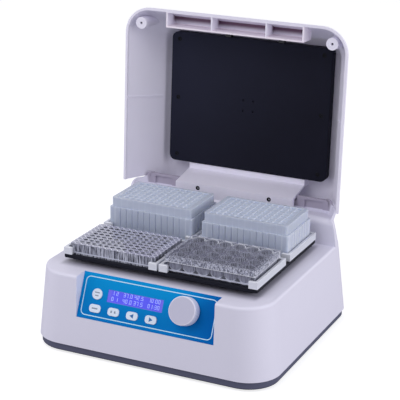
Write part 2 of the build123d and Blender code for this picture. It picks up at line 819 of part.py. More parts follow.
with BuildPart() as platform:
    with BuildSketch(Plane.XY.offset(platform_bottom)):
        RectangleRounded(2 * platform_half_x, 2 * platform_half_y, 3)
    extrude(amount=platform_thickness)
    chamfer(platform.edges().group_by(Axis.Z)[-1], length=0.5)
    with BuildSketch(Plane.XY.offset(platform_bottom)):
        with Locations(*rail_screws_at):
            Circle(rail_screw_radius)
    extrude(amount=platform_thickness, mode=Mode.SUBTRACT)
    with BuildSketch(Plane.XY.offset(platform_bottom)):
        with Locations(*rail_screws_at):
            Circle(2 * rail_screw_radius)
    extrude(amount=1.8, mode=Mode.SUBTRACT)
keep(platform, "platform")

with BuildPart() as rail_screws:
    with BuildSketch(Plane.XY.offset(platform_bottom)):
        with Locations(*rail_screws_at):
            Circle(2 * rail_screw_radius)
    extrude(amount=1.8)
    with BuildSketch(Plane.XY.offset(platform_bottom + 1.8)):
        with Locations(*rail_screws_at):
            Circle(rail_screw_radius)
    extrude(amount=platform_thickness + 4 - 1.8)
keep(rail_screws, "rail_screws")

for place, (side, end) in idler_places.items():
    with BuildPart() as nest_rails:
        for hand in (-1, 1):
            bar_x = side * nest_x + hand * (plate_length / 2 + nest_clearance + rail_thickness / 2)
            hook_x = bar_x - hand * (rail_hook - rail_thickness) / 2
            with BuildSketch(Plane.XY.offset(platform_top)):
                with Locations((bar_x, end * nest_y)):
                    Rectangle(rail_thickness, rail_length)
                with Locations((hook_x, end * nest_y + (rail_length - rail_thickness) / 2),
                               (hook_x, end * nest_y - (rail_length - rail_thickness) / 2)):
                    Rectangle(rail_hook, rail_thickness)
            extrude(amount=rail_height)
        top_edges = nest_rails.edges().group_by(Axis.Z)[-1]
        chamfer(top_edges, length=0.5)
        with BuildSketch(Plane.XY.offset(platform_top)):
            with Locations(*rail_screws_at):
                Circle(rail_screw_radius)
        extrude(amount=4, mode=Mode.SUBTRACT)
    keep(nest_rails, f"nest_rails_{place}")

# --------------------------------------------------------------- microplates

shallow_x = -nest_x
broad_x = nest_x
tube_wall = 0.6

with BuildPart() as shallow_plate:
    with BuildSketch(Plane.XY.offset(platform_top)):
        with Locations((shallow_x, -nest_y)):
            RectangleRounded(plate_length, plate_depth, plate_corner)
    extrude(amount=skirt_height)
    with BuildSketch(Plane.XY.offset(platform_top + skirt_height)):
        with Locations((shallow_x, -nest_y)):
            RectangleRounded(plate_length - 3, plate_depth - 3, plate_corner)
    extrude(amount=shallow_height - skirt_height)
    with BuildSketch(Plane.XY.offset(platform_top)):
        with Locations((shallow_x, -nest_y)):
            RectangleRounded(plate_length - 3 - 2 * wall_thin, plate_depth - 3 - 2 * wall_thin, 2)
            with GridLocations(well_pitch, well_pitch, 12, 8):
                Circle(shallow_well_radius + tube_wall, mode=Mode.SUBTRACT)
    extrude(amount=shallow_height - wall_thin, mode=Mode.SUBTRACT)
    with BuildSketch(Plane.XY.offset(platform_top)):
        with Locations((shallow_x, -nest_y)):
            with GridLocations(well_pitch, well_pitch, 12, 8):
                Circle(shallow_well_radius + tube_wall)
    extrude(amount=2, mode=Mode.SUBTRACT)
    with BuildSketch(Plane.XY.offset(platform_top + shallow_height - shallow_well_depth)):
        with Locations((shallow_x, -nest_y)):
            with GridLocations(well_pitch, well_pitch, 12, 8):
                Circle(shallow_well_radius)
    extrude(amount=shallow_well_depth, mode=Mode.SUBTRACT)
keep(shallow_plate, "microplate_96")

with BuildPart() as broad_plate:
    with BuildSketch(Plane.XY.offset(platform_top)):
        with Locations((broad_x, -nest_y)):
            RectangleRounded(plate_length, plate_depth, plate_corner)
    extrude(amount=skirt_height)
    with BuildSketch(Plane.XY.offset(platform_top + skirt_height)):
        with Locations((broad_x, -nest_y)):
            RectangleRounded(plate_length - 5, plate_depth - 5, plate_corner)
    extrude(amount=broad_height - skirt_height)
    with BuildSketch(Plane.XY.offset(platform_top)):
        with Locations((broad_x, -nest_y)):
            RectangleRounded(plate_length - 5 - 2 * wall_thin, plate_depth - 5 - 2 * wall_thin, 2)
            with GridLocations(broad_pitch, broad_pitch, 6, 4):
                Circle(broad_well_radius + 1, mode=Mode.SUBTRACT)
    extrude(amount=broad_height - wall_thin, mode=Mode.SUBTRACT)
    with BuildSketch(Plane.XY.offset(platform_top)):
        with Locations((broad_x, -nest_y)):
            with GridLocations(broad_pitch, broad_pitch, 6, 4):
                Circle(broad_well_radius + 1)
    extrude(amount=1.5, mode=Mode.SUBTRACT)
    with BuildSketch(Plane.XY.offset(platform_top + broad_height - broad_well_depth)):
        with Locations((broad_x, -nest_y)):
            with GridLocations(broad_pitch, broad_pitch, 6, 4):
                Circle(broad_well_radius)
    extrude(amount=broad_well_depth, mode=Mode.SUBTRACT)
keep(broad_plate, "microplate_24")

cover_top = platform_top + broad_height + wall_thin
with BuildPart() as microplate_cover:
    with BuildSketch(Plane.XY.offset(cover_top - cover_height)):
        with Locations((broad_x, -nest_y)):
            RectangleRounded(plate_length - 0.6, plate_depth - 0.6, plate_corner)
            RectangleRounded(plate_length - 0.6 - 2 * wall_thin, plate_depth - 0.6 - 2 * wall_thin,
                             plate_corner - wall_thin, mode=Mode.SUBTRACT)
    extrude(amount=cover_height)
    with BuildSketch(Plane.XY.offset(cover_top - wall_thin)):
        with Locations((broad_x, -nest_y)):
            RectangleRounded(plate_length - 0.6, plate_depth - 0.6, plate_corner)
    extrude(amount=wall_thin)
    fillet(microplate_cover.edges().group_by(Axis.Z)[-1], radius=0.5)
keep(microplate_cover, "microplate_cover")

for name, side in (("deep_well_left", -1), ("deep_well_right", 1)):
    with BuildPart() as deep_plate:
        with BuildSketch(Plane.XY.offset(platform_top)):
            with Locations((side * nest_x, nest_y)):
                RectangleRounded(plate_length, plate_depth, plate_corner)
        extrude(amount=skirt_height)
        with BuildSketch(Plane.XY.offset(platform_top + skirt_height)):
            with Locations((side * nest_x, nest_y)):
                RectangleRounded(plate_length - 2 * deep_body_inset,
                                 plate_depth - 2 * deep_body_inset, plate_corner)
                with GridLocations(well_pitch, plate_depth - 2 * deep_body_inset, 11, 2):
                    Circle(deep_rib_radius, mode=Mode.SUBTRACT)
                with GridLocations(plate_length - 2 * deep_body_inset, well_pitch, 2, 7):
                    Circle(deep_rib_radius, mode=Mode.SUBTRACT)
        extrude(amount=deep_height - deep_collar_height - skirt_height)
        with BuildSketch(Plane.XY.offset(platform_top + deep_height - deep_collar_height)):
            with Locations((side * nest_x, nest_y)):
                RectangleRounded(plate_length - 2 * deep_collar_inset,
                                 plate_depth - 2 * deep_collar_inset, plate_corner)
        extrude(amount=deep_collar_height)
        with BuildSketch(Plane.XY.offset(platform_top + deep_height - deep_well_depth)):
            with Locations((side * nest_x, nest_y)):
                with GridLocations(well_pitch, well_pitch, 12, 8):
                    RectangleRounded(deep_well_side, deep_well_side, 1.2)
        extrude(amount=deep_well_depth, mode=Mode.SUBTRACT)
    keep(deep_plate, name)

# --------------------------------------------------------- electronics, rear

with BuildPart() as main_board:
    with BuildSketch(Plane.XY.offset(chassis_top + board_lift)):
        with Locations((-60, 81)):
            Rectangle(104, 74)
    extrude(amount=board_thickness)
    with BuildSketch(Plane.XY.offset(chassis_top + board_lift + board_thickness)):
        with Locations((-84, 95)):
            Rectangle(30, 24)
        with Locations((-34, 92)):
            Rectangle(16, 16)
        with Locations((-60, 62)):
            Rectangle(60, 10)
    extrude(amount=12)
    with BuildSketch(Plane.XY.offset(chassis_top + board_lift + board_thickness)):
        with Locations((-58, 98)):
            with GridLocations(12, 0, 2, 1):
                Circle(5)
    extrude(amount=20)
keep(main_board, "main_board")

with BuildPart() as power_supply:
    with BuildSketch(Plane.XY.offset(chassis_top)):
        with Locations((64, 88)):
            Rectangle(100, 72)
    extrude(amount=34)
    chamfer(power_supply.edges().group_by(Axis.Z)[-1], length=1)
    with BuildSketch(Plane.XY.offset(chassis_top + 32)):
        with Locations((64, 88)):
            with GridLocations(8, 0, 10, 1):
                SlotOverall(52, 3, rotation=90)
    extrude(amount=4, mode=Mode.SUBTRACT)
keep(power_supply, "power_supply")

panel_face = rear_panel_y + rear_panel_thickness
inlet_width = 27.0
inlet_height = 20.0
rocker_width = 13.0
rocker_height = 19.0
panel_screw_x = rear_panel_width / 2 - 4
panel_screw_z = rear_panel_height / 2 - 4
panel_screws_at = [(-rear_panel_x + side * panel_screw_x, rear_panel_z + end * panel_screw_z)
                   for side in (-1, 1) for end in (-1, 1)]
rear_face = Plane(origin=(0, 0, 0), x_dir=(-1, 0, 0), z_dir=(0, 1, 0))

with BuildPart() as rear_panel:
    with BuildSketch(rear_face.offset(rear_panel_y)):
        with Locations((-rear_panel_x, rear_panel_z)):
            RectangleRounded(rear_panel_width - 0.4, rear_panel_height - 0.4, 1.5)
        with Locations((-inlet_x, rear_panel_z)):
            Rectangle(inlet_width + 0.2, inlet_height + 0.2, mode=Mode.SUBTRACT)
        with Locations((-rocker_x, rear_panel_z)):
            Rectangle(rocker_width + 0.2, rocker_height + 0.2, mode=Mode.SUBTRACT)
    extrude(amount=rear_panel_thickness)
keep(rear_panel, "rear_panel")

with BuildPart() as panel_screws:
    with BuildSketch(rear_face.offset(panel_face)):
        with Locations(*panel_screws_at):
            Circle(2.8)
    extrude(amount=1.6)
    fillet(panel_screws.edges().group_by(Axis.Y)[-1], radius=0.8)
keep(panel_screws, "panel_screws")

with BuildPart() as inlet_socket:
    with BuildSketch(rear_face.offset(panel_face)):
        with Locations((-inlet_x, rear_panel_z)):
            RectangleRounded(31, 24, 2)
    extrude(amount=2.5)
    with BuildSketch(rear_face.offset(panel_face - 22)):
        with Locations((-inlet_x, rear_panel_z)):
            Rectangle(inlet_width, inlet_height)
    extrude(amount=22)
    with BuildSketch(rear_face.offset(panel_face + 2.5 - 17)) as socket_mouth:
        with Locations((-inlet_x, rear_panel_z)):
            Rectangle(24, 16.4)
        upper = socket_mouth.vertices().group_by(Axis.Y)[-1]
        chamfer(upper, length=5)
    extrude(amount=17, mode=Mode.SUBTRACT)
keep(inlet_socket, "inlet_socket")

with BuildPart() as inlet_pins:
    with BuildSketch(rear_face.offset(panel_face + 2.5 - 17)):
        with Locations((-inlet_x - 7, rear_panel_z - 2), (-inlet_x + 7, rear_panel_z - 2),
                       (-inlet_x, rear_panel_z + 2)):
            Rectangle(2, 4)
    extrude(amount=14)
keep(inlet_pins, "inlet_pins")

rocker_axis_y = panel_face - 1.0
with BuildPart() as rocker_frame:
    with BuildSketch(rear_face.offset(panel_face)):
        with Locations((-rocker_x, rear_panel_z)):
            RectangleRounded(15, 21, 1.5)
    extrude(amount=1.8)
    with BuildSketch(rear_face.offset(panel_face - 14)):
        with Locations((-rocker_x, rear_panel_z)):
            Rectangle(rocker_width, rocker_height)
    extrude(amount=14)
    with BuildSketch(rear_face.offset(panel_face - 8)):
        with Locations((-rocker_x, rear_panel_z)):
            Rectangle(9.6, 16)
    extrude(amount=12, mode=Mode.SUBTRACT)
    with BuildSketch(Plane.YZ.offset(rocker_x - 6)):
        with Locations((rocker_axis_y, rear_panel_z)):
            Circle(1 + running)
    extrude(amount=12, mode=Mode.SUBTRACT)
keep(rocker_frame, "rocker_frame")

with BuildPart() as power_rocker:
    with BuildSketch(Plane.YZ.offset(rocker_x - 4.5)):
        with BuildLine():
            Polyline((panel_face - 4, rear_panel_z - 4), (panel_face + 3.6, rear_panel_z - 7.2),
                     (panel_face + 1.2, rear_panel_z), (panel_face + 1.9, rear_panel_z + 7.2),
                     (panel_face - 4, rear_panel_z + 4), (panel_face - 4, rear_panel_z - 4))
        make_face()
    extrude(amount=9)
    with BuildSketch(Plane.YZ.offset(rocker_x - 5.8)):
        with Locations((rocker_axis_y, rear_panel_z)):
            Circle(1)
    extrude(amount=11.6)
keep(power_rocker, "power_rocker")

# --------------------------------------------------------------------- hinge

shaft_half = trough_half + tower_wall + 22
damper_half = 6.0
with BuildPart() as hinge_shaft:
    with BuildSketch(Plane.YZ.offset(-shaft_half)):
        with Locations((hinge_y, hinge_z)):
            Circle(hinge_shaft_radius)
    extrude(amount=2 * shaft_half)
keep(hinge_shaft, "hinge_shaft")

with BuildPart() as hinge_bushes:
    for start in (trough_half, -trough_half - tower_wall):
        with BuildSketch(Plane.YZ.offset(start)):
            with Locations((hinge_y, hinge_z)):
                Circle(hinge_shaft_radius + 3 - bearing_fit)
                Circle(hinge_shaft_radius + bearing_fit, mode=Mode.SUBTRACT)
        extrude(amount=tower_wall)
keep(hinge_bushes, "hinge_bushes")

with BuildPart() as hinge_dampers:
    for start in (trough_half + tower_wall, -trough_half - tower_wall - 20):
        with BuildSketch(Plane.YZ.offset(start)):
            with Locations((hinge_y, hinge_z)):
                Rectangle(18, 2 * damper_half)
                Circle(hinge_shaft_radius + bearing_fit, mode=Mode.SUBTRACT)
        extrude(amount=20)
keep(hinge_dampers, "hinge_dampers")

bar_face = -5.0
bar_screws_at = [(-55, -20.5), (55, -20.5)]
lid_screw_radius = 3.1
lid_screw_sink = 1.5
with BuildPart() as hinge_knuckle:
    with BuildSketch(lid_section.offset(-knuckle_half)):
        with BuildLine():
            Polyline((4, bar_face), (-26, bar_face), (-35.5, 39.9), (-43.5, 39.9),
                     (-43.5, lid_top_rise - lid_wall), (-33, lid_top_rise - lid_wall),
                     (-33, 42), (-23.5, 3), (4, 3), (4, bar_face))
        make_face()
        Circle(knuckle_radius)
        Circle(hinge_shaft_radius + running, mode=Mode.SUBTRACT)
    extrude(amount=2 * knuckle_half)
    with BuildSketch(lid_frame.offset(bar_face)):
        with Locations(*bar_screws_at):
            Circle(lid_screw_radius + 0.1)
    extrude(amount=lid_screw_sink, mode=Mode.SUBTRACT)
keep(hinge_knuckle, "hinge_knuckle")

# ----------------------------------------------------------------------- lid

heater_middle = -(heater_front + heater_rear) / 2
heater_length = heater_front - heater_rear
screw_pitch = (heater_length - 2 * heater_screw_inset) / 2
heater_screws_at = [(side * heater_screw_x, heater_middle + step * screw_pitch)
                    for side in (-1, 1) for step in (-1, 0, 1)]
heater_back = heater_face_rise + heater_thickness
ceiling = lid_top_rise - lid_wall

lid_space = lid_solid(lid_wall)
with BuildPart() as lid_bosses:
    with BuildSketch(lid_frame.offset(2 - lid_rim_drop)):
        with Locations((-boss_x, -boss_forward), (boss_x, -boss_forward)):
            Circle(boss_radius)
    extrude(amount=60)
    with BuildSketch(lid_frame.offset(heater_back)):
        with Locations(*heater_screws_at):
            Circle(5)
    extrude(amount=20)
    add(lid_space, mode=Mode.INTERSECT)

with BuildPart() as rib_gauge:
    with BuildSketch(lid_section.offset(-lid_half_width)):
        with BuildLine():
            Polyline((rib_low, -lid_rim_drop), (rib_low + rib_width, -lid_rim_drop),
                     (rib_high + rib_width, heater_face_rise), (rib_high, heater_face_rise), close=True)
        make_face()
    extrude(amount=2 * lid_half_width)
    add(lid_space, mode=Mode.INTERSECT)
    add(lid_solid(lid_wall + 1.2), mode=Mode.SUBTRACT)

with BuildPart() as lid_shell:
    add(lid_solid(0))
    add(lid_space, mode=Mode.SUBTRACT)
    add(rib_gauge.part)
    with BuildSketch(lid_frame.offset(-lid_rim_drop - 1)):
        with Locations((0, (lid_rear + 20 - lid_cut_front) / 2)):
            Rectangle(2 * lid_half_width + 10, lid_rear + 20 + lid_cut_front)
    extrude(amount=lid_cut_rise + lid_rim_drop + 1, mode=Mode.SUBTRACT)
    add(lid_bosses.part)
    with BuildSketch(lid_frame.offset(-lid_rim_drop)):
        with Locations((-boss_x, -boss_forward), (boss_x, -boss_forward)):
            Circle(1.8)
    extrude(amount=20, mode=Mode.SUBTRACT)
keep(lid_shell, "lid_shell")

with BuildPart(lid_frame) as boss_screws:
    with BuildSketch(lid_frame.offset(6 - lid_rim_drop)):
        with Locations((-boss_x, -boss_forward), (boss_x, -boss_forward)):
            Circle(1.75)
    extrude(amount=13)
keep(boss_screws, "boss_screws")

with BuildPart(lid_frame) as lid_heater_plate:
    with BuildSketch(lid_frame.offset(heater_face_rise)):
        with Locations((0, heater_middle)):
            RectangleRounded(2 * heater_half_width, heater_length, heater_corner)
    extrude(amount=heater_thickness)
    face_edges = lid_heater_plate.edges().group_by(Axis(lid_frame.origin, lid_frame.z_dir))[0]
    fillet(face_edges, radius=1.2)
    with BuildSketch(lid_frame.offset(heater_back - 8)):
        with Locations((0, heater_middle)):
            RectangleRounded(2 * heater_half_width - 6, heater_length - 6, heater_corner - 3)
            with Locations(*[(x, y - heater_middle) for x, y in heater_screws_at]):
                Circle(5, mode=Mode.SUBTRACT)
    extrude(amount=8, mode=Mode.SUBTRACT)
    with BuildSketch(lid_frame.offset(heater_face_rise)):
        with Locations(*heater_screws_at):
            Circle(lid_screw_radius + 0.1)
        with Locations((0, heater_middle)):
            with GridLocations(15.3, 15.3, 2, 2):
                Circle(1.6)
    extrude(amount=lid_screw_sink, mode=Mode.SUBTRACT)
keep(lid_heater_plate, "lid_heater_plate")

with BuildPart(lid_frame) as lid_screws:
    for seat, places in ((heater_face_rise, heater_screws_at), (bar_face, bar_screws_at)):
        with BuildSketch(lid_frame.offset(seat + 0.3)):
            with Locations(*places):
                Circle(lid_screw_radius)
                RegularPolygon(1.4, 6, mode=Mode.SUBTRACT)
        extrude(amount=lid_screw_sink - 0.3)
keep(lid_screws, "lid_screws")

with BuildPart() as lid_insulation:
    with BuildSketch(lid_frame.offset(heater_back - 6)):
        with Locations((0, heater_middle)):
            RectangleRounded(2 * heater_half_width - 8, heater_length - 8, heater_corner - 4)
            with Locations(*[(x, y - heater_middle) for x, y in heater_screws_at]):
                Circle(5.5, mode=Mode.SUBTRACT)
    extrude(amount=ceiling - heater_back + 6)
    add(lid_space, mode=Mode.INTERSECT)
keep(lid_insulation, "lid_insulation")

box_middle = -(box_front + box_rear) / 2
pocket_edges = [-box_half_width + box_wall, box_rib_left - box_wall / 2,
                box_rib_left + box_wall / 2, box_rib_right - box_wall / 2,
                box_rib_right + box_wall / 2, box_half_width - box_wall]
with BuildPart() as handle_box:
    with BuildSketch(lid_frame.offset(-lid_rim_drop)):
        with Locations((0, box_middle)):
            Rectangle(2 * box_half_width, box_front - box_rear)
    extrude(amount=box_depth)
    add(lid_space, mode=Mode.INTERSECT)
    with BuildSketch(lid_frame.offset(-lid_rim_drop)):
        for left, right in zip(pocket_edges[0::2], pocket_edges[1::2]):
            with Locations(((left + right) / 2, box_middle)):
                Rectangle(right - left, box_front - box_rear - 2 * box_wall)
    extrude(amount=pocket_depth, mode=Mode.SUBTRACT)
keep(handle_box, "handle_box")

with BuildPart(lid_frame) as plate_clips:
    with Locations((box_rib_left - 2, -heater_front - 3, heater_face_rise + 5),
                   (box_rib_right - 2, -heater_front - 3, heater_face_rise + 5)):
        Box(8, 6, 8)
keep(plate_clips, "plate_clips")
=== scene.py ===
import math

import bmesh
import bpy
from mathutils import Matrix, Vector


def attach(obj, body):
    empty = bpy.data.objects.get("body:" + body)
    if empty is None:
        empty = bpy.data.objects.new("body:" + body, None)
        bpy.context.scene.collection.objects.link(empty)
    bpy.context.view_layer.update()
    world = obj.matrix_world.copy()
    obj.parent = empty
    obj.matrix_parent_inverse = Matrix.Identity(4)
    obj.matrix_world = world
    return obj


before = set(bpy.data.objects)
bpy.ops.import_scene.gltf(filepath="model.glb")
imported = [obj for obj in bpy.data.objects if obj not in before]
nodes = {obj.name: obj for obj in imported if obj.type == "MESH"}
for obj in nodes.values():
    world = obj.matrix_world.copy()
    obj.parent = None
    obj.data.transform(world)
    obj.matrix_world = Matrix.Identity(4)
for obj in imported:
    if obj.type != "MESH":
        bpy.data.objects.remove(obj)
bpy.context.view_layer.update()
scene = bpy.context.scene
print("frame loaded")


# directions and planes shared by the pieces, in metres

xAxis, yAxis, zAxis = (1, 0, 0), (0, 1, 0), (0, 0, 1)
panelLean = math.radians(23.6)
panelOrigin = Vector((0, -0.1165, 0.112))
panelOut = Vector((0, -math.cos(panelLean), math.sin(panelLean)))
panelUp = Vector((0, math.sin(panelLean), math.cos(panelLean)))
lidTurn = math.radians(92.44)
lidOrigin = Vector((0, 0.1366, 0.1376))
lidIn = Vector((0, math.sin(lidTurn), math.cos(lidTurn)))  # from the rim towards the lid's ceiling
lidBack = Vector((0, math.cos(lidTurn), -math.sin(lidTurn)))  # towards the hinge


def panelPoint(x, down, out):
    return panelOrigin + Vector((x, 0, 0)) - panelUp * down + panelOut * out


def srgb(r, g, b):  # a colour as read off a screen, 0 to 255, to what the shader wants
    def one(c):
        c = c / 255
        return c / 12.92 if c <= 0.04045 else ((c + 0.055) / 1.055) ** 2.4
    return (one(r), one(g), one(b), 1)


class Wire:
    def __init__(self, graph, socket):
        self.graph = graph
        self.socket = socket

    def sums(self, operation, first, second):
        return self.graph.make("ShaderNodeMath", {"operation": operation}, {0: first, 1: second})

    def __add__(self, other):
        return self.sums("ADD", self, other)

    def __radd__(self, other):
        return self.sums("ADD", other, self)

    def __sub__(self, other):
        return self.sums("SUBTRACT", self, other)

    def __rsub__(self, other):
        return self.sums("SUBTRACT", other, self)

    def __mul__(self, other):
        return self.sums("MULTIPLY", self, other)

    def __rmul__(self, other):
        return self.sums("MULTIPLY", other, self)

    def __truediv__(self, other):
        return self.sums("DIVIDE", self, other)

    def __rtruediv__(self, other):
        return self.sums("DIVIDE", other, self)

    def __abs__(self):
        return self.sums("ABSOLUTE", self, 0)

    def __gt__(self, other):
        return self.sums("GREATER_THAN", self, other)

    def __lt__(self, other):
        return self.sums("LESS_THAN", self, other)

    def largest(self, other):
        return self.sums("MAXIMUM", self, other)

    def smallest(self, other):
        return self.sums("MINIMUM", self, other)

    def root(self):
        return self.sums("SQRT", self, 0)

    def fraction(self):
        return self.sums("FRACT", self, 0)

    def along(self, direction):  # a position's distance along a direction
        settings = {"operation": "DOT_PRODUCT"}
        sockets = {0: self, 1: tuple(direction)}
        return self.graph.make("ShaderNodeVectorMath", settings, sockets, "Value")

    def step(self, low, high, start=0.0, end=1.0):
        settings = {"interpolation_type": "SMOOTHSTEP"}
        sockets = {"Value": self, "From Min": low, "From Max": high, "To Min": start, "To Max": end}
        return self.graph.make("ShaderNodeMapRange", settings, sockets, "Result")


class Graph:  # the nodes of a material or of the world
    def __init__(self, tree):
        self.tree = tree
        self.tree.nodes.clear()

    def make(self, kind, settings, sockets, output=0):
        node = self.tree.nodes.new(kind)
        for key, value in settings.items():
            setattr(node, key, value)
        for key, value in sockets.items():
            self.put(node.inputs[key], value)
        return None if output is None else Wire(self, node.outputs[output])

    def put(self, socket, value):
        if isinstance(value, Wire):
            self.tree.links.new(value.socket, socket)
        else:
            socket.default_value = value

    def blend(self, factor, first, second):  # 6, 7 and 2 are the mix node's colour sockets
        return self.make("ShaderNodeMix", {"data_type": "RGBA"},
                         {"Factor": factor, 6: first, 7: second}, 2)


class Finish(Graph):
    def __init__(self, name):
        self.material = bpy.data.materials.new(name)
        self.material.use_nodes = True
        super().__init__(self.material.node_tree)
        self.place = self.make("ShaderNodeTexCoord", {}, {}, "Object")

    def noise(self, scale, detail=2.0, roughness=0.5, place=None):
        sockets = {"Vector": place or self.place, "Scale": scale, "Detail": detail,
                   "Roughness": roughness}
        return self.make("ShaderNodeTexNoise", {}, sockets, "Fac")

    def cells(self, scale):
        return self.make("ShaderNodeTexVoronoi", {}, {"Vector": self.place, "Scale": scale}, "Distance")

    def stretched(self, x, y, z):
        sockets = {0: self.place, 1: (x, y, z)}
        return self.make("ShaderNodeVectorMath", {"operation": "MULTIPLY"}, sockets, "Vector")

    def bump(self, height, strength, distance=0.0002):
        sockets = {"Height": height, "Strength": strength, "Distance": distance}
        return self.make("ShaderNodeBump", {}, sockets, "Normal")

    def plastic(self, colour, roughness, **more):
        sockets = {"Base Color": colour, "Roughness": roughness}
        sockets.update({key.replace("_", " "): value for key, value in more.items()})
        return self.surface(self.make("ShaderNodeBsdfPrincipled", {}, sockets))

    def surface(self, shader):
        self.make("ShaderNodeOutputMaterial", {}, {"Surface": shader}, None)
        return self.material


def dress(material, *names):
    for name in names:
        mesh = nodes[name].data
        mesh.materials.clear()
        mesh.materials.append(material)


def grained(name, scale, detail, dark, light, roughness, relief=0.0, **more):
    # a plain finish, where one noise sets the tint, the roughness from its least value, and the bump
    f = Finish(name)
    grain = f.noise(scale, detail)
    if relief:
        more["Normal"] = f.bump(grain, relief)
    least, spread = roughness
    return f.plastic(f.blend(grain, dark, light), grain * spread + least, **more)


def newPiece(name, verts, faces, material, body):
    mesh = bpy.data.meshes.new(name)
    mesh.from_pydata([tuple(v) for v in verts], [], faces)
    mesh.validate()
    mesh.update()
    mesh.materials.append(material)
    bm = bmesh.new()
    bm.from_mesh(mesh)
    bmesh.ops.recalc_face_normals(bm, faces=bm.faces)
    bm.to_mesh(mesh)
    bm.free()
    piece = bpy.data.objects.new(name, mesh)
    bpy.context.collection.objects.link(piece)
    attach(piece, body)


def roundedRect(left, top, right, bottom, radius, count=8):
    corners = [(right - radius, top + radius, -90), (right - radius, bottom - radius, 0),
               (left + radius, bottom - radius, 90), (left + radius, top + radius, 180)]
    points = []
    for x, y, start in corners:
        for i in range(count + 1):
            a = math.radians(start + 90 * i / count)
            points.append((x + radius * math.cos(a), y + radius * math.sin(a)))
    return points


# finishes of the base

housing = {
    "colour": srgb(226, 224, 240), "patch": srgb(220, 218, 234), "roughness": (0.42, 0.52),
    "grain": 2600.0, "relief": 0.10,
    "paintedRearShade": srgb(150, 140, 160), "rearFrom": (0.1440, 0.1466), "rearOver": (0.1500, 0.1512),
    "rearDepth": 0.75,  # painted shade on the upright wall behind the plates
    "paintedDeckShadow": srgb(120, 118, 142), "deckOver": (0.1100, 0.1115), "deckDepth": 0.6,
    "platformHalf": (0.1385, 0.1015), "fade": (0.005, 0.013),  # the painted shadow fades out round the platform, in x and y
}
f = Finish("housingPlastic")
patches = f.noise(9.0, 3.0)
grain = f.noise(housing["grain"], 2.0)
tint = f.blend(patches.step(0.3, 0.7, 0.0, 0.35), housing["colour"], housing["patch"])
height = f.place.along(zAxis)
# painted shade: the upright wall behind the plates is darkened where the open lid shades it
rear = f.place.along(yAxis).step(*housing["rearFrom"]) * height.step(*housing["rearOver"])
tint = f.blend(rear * housing["rearDepth"], tint, housing["paintedRearShade"])
# painted shadow: the deck is darkened round the platform's edge
platformShadow = height.step(*housing["deckOver"]) * housing["deckDepth"]
for axis, half, fade in zip((xAxis, yAxis), housing["platformHalf"], housing["fade"]):
    platformShadow = platformShadow * (abs(f.place.along(axis)) - half).step(-0.002, fade, 1.0, 0.0)
tint = f.blend(platformShadow, tint, housing["paintedDeckShadow"])
roughness = grain * 0.06 + patches.step(0.3, 0.7, *housing["roughness"])
housingPlastic = f.plastic(tint, roughness, Normal=f.bump(grain, housing["relief"]))
dress(housingPlastic, "housing")

tray = {"colour": srgb(90, 92, 114), "edge": srgb(66, 68, 88), "edgeUpTo": (0.0030, 0.0060),
        "grain": 2200.0, "relief": 0.12}
f = Finish("trayPlastic")
grain = f.noise(tray["grain"], 2.0)
tint = f.blend(f.place.along(zAxis).step(*tray["edgeUpTo"]), tray["edge"], tray["colour"])
trayPlastic = f.plastic(tint, grain * 0.1 + 0.5, Normal=f.bump(grain, tray["relief"]),
                        Specular_IOR_Level=0.2)
dress(trayPlastic, "bottom_tray")

dress(grained("footRubber", 1500.0, 4.0, srgb(30, 30, 34), srgb(46, 46, 50), (0.7, 0.2), 0.3),
      "rubber_feet")
dress(grained("blackSteel", 900.0, 3.0, srgb(34, 34, 44), srgb(52, 52, 62), (0.3, 0.2), 0.1,
              Metallic=0.6), "case_screws", "rail_screws", "boss_screws")
print("base finishes done")


shoulder = {  # a thin wall that carries the upstand on, round each rear corner
    "half": 0.1552, "rear": 0.158, "corner": 0.040, "wall": 0.0034,
    "foot": 0.1455, "top": 0.1655, "least": 0.0004, "bevel": 0.0005,
    "from": 62, "to": -2, "steps": 32, "flare": 0.28,  # from and to are degrees round the corner
    "reach": 0.022, "clear": 0.0010, "lidHalf": 0.1614, "lidSlope": 0.445, "lidRise": 0.0208,
}


def shoulderTop(x, y):  # as high as the lid's side wall lets it pass, never over the upstand
    rise = (shoulder["lidHalf"] - x) / shoulder["lidSlope"] - shoulder["lidRise"]
    reach = math.hypot(shoulder["reach"], max(rise, 0)) - shoulder["clear"]
    height = math.sqrt(max(reach ** 2 - (y - lidOrigin.y) ** 2, 0))
    return max(min(shoulder["top"], lidOrigin.z + height), shoulder["foot"] + shoulder["least"])


def shoulderPiece(name, side):
    verts, faces, count = [], [], shoulder["steps"]
    foot, wall, bevel, corner = (shoulder[key] for key in ("foot", "wall", "bevel", "corner"))
    for i in range(count + 1):
        a = math.radians(shoulder["from"] + (shoulder["to"] - shoulder["from"]) * i / count)
        x = shoulder["half"] - corner + corner * math.cos(a)
        y = shoulder["rear"] - corner + corner * math.sin(a)
        spread = shoulder["flare"] * math.cos(a) ** 2
        top = shoulderTop(x + (shoulder["top"] - foot) * spread * math.cos(a), y)
        lean = (top - foot) * spread  # the wall leans out at the sides, as the lid does
        section = [(0, foot), (-lean, top - bevel), (bevel - lean, top), (wall - lean, top), (wall, foot)]
        for inset, z in section:
            verts.append((side * (x - inset * math.cos(a)), y - inset * math.sin(a), z))
    for i in range(count):
        for k in range(5):
            a, b = i * 5 + k, i * 5 + (k + 1) % 5
            faces.append([a, b, b + 5, a + 5])
    faces += [[4, 3, 2, 1, 0], [count * 5 + k for k in range(5)]]
    newPiece(name, verts, faces, housingPlastic, "base")


shoulderPiece("hingeShoulderLeft", -1)
shoulderPiece("hingeShoulderRight", 1)
print("shoulders done")


# control panel

